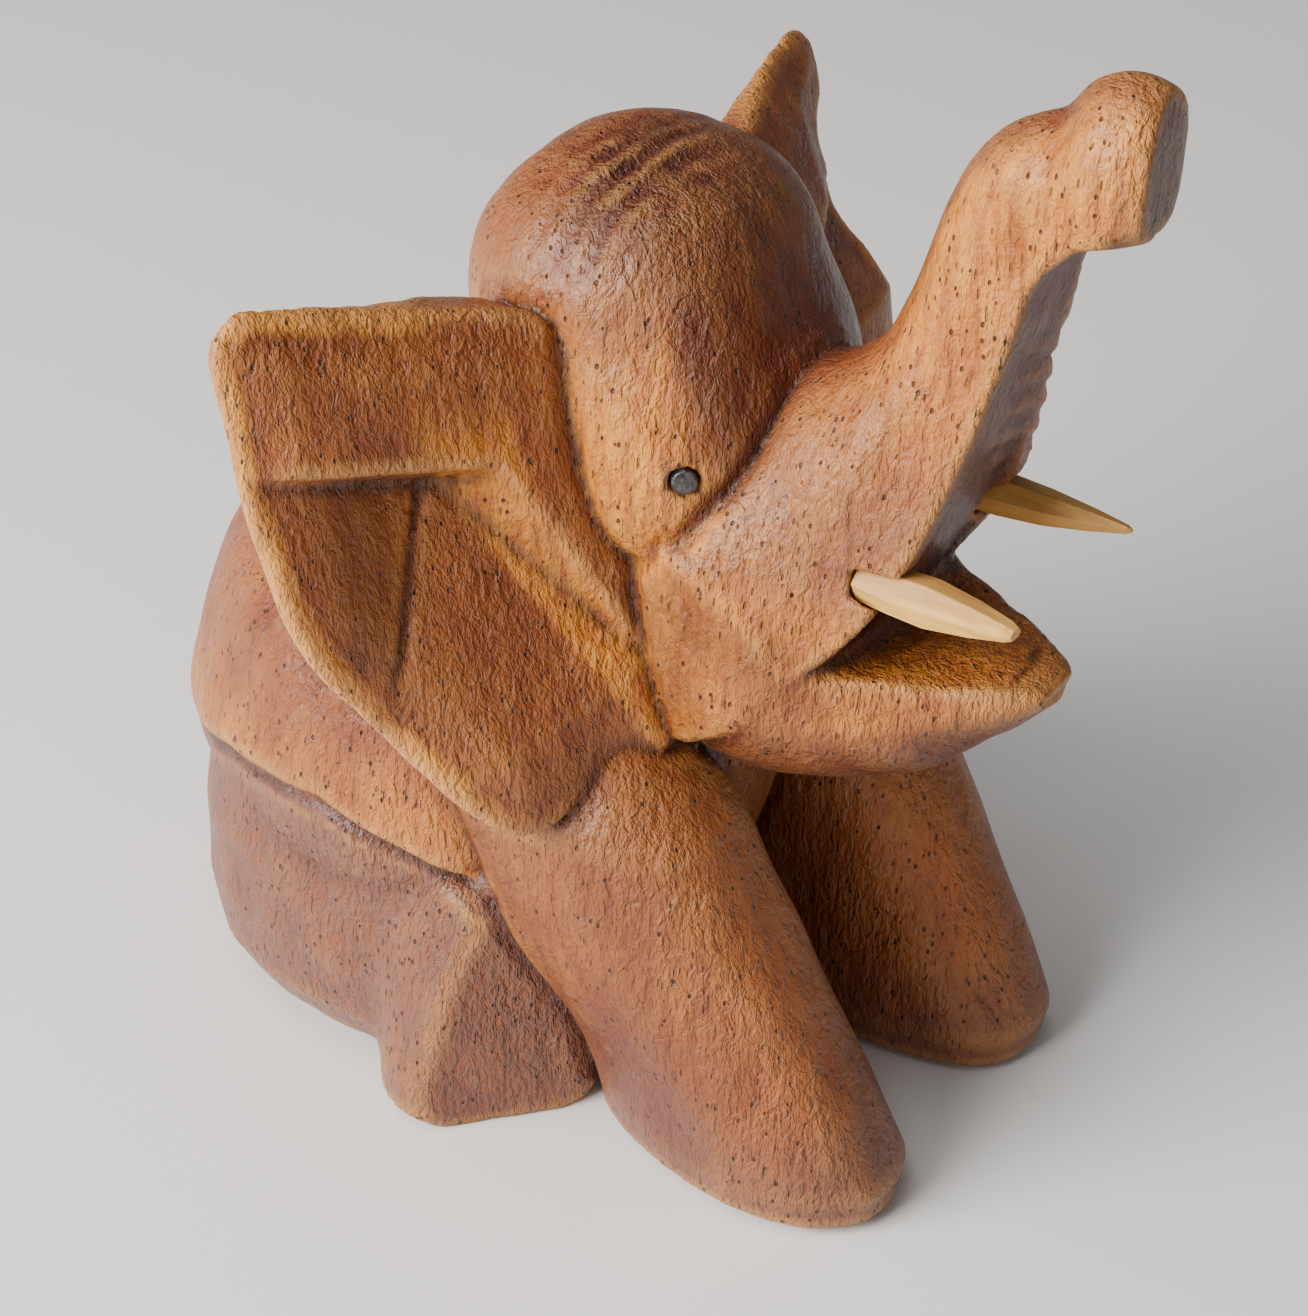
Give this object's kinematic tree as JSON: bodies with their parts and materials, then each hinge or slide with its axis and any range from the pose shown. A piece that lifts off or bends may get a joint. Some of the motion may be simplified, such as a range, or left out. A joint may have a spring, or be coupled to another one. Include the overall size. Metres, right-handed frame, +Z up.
{
  "type": "carved wooden elephant",
  "caption": "Small hardwood elephant carved from one block, sitting with its trunk raised, with inset pale tusks and dark inset eyes.",
  "frame": {"origin": "on the surface the figure sits on, under the middle of its bounding box", "axes": "+Z up; the elephant faces -Y; its left side is +X"},
  "size_m": [0.0812, 0.092, 0.1061],
  "materials": {
    "body_wood": "satin varnish",
    "tusk_wood": "whittled, lightly varnished",
    "eye_peg": "dark stained, glossy"
  },
  "bodies": {
    "root": {"carved_body": "body_wood", "tusk_left": "tusk_wood", "tusk_right": "tusk_wood", "eye_left": "eye_peg", "eye_right": "eye_peg"}
  },
  "joints": []
}
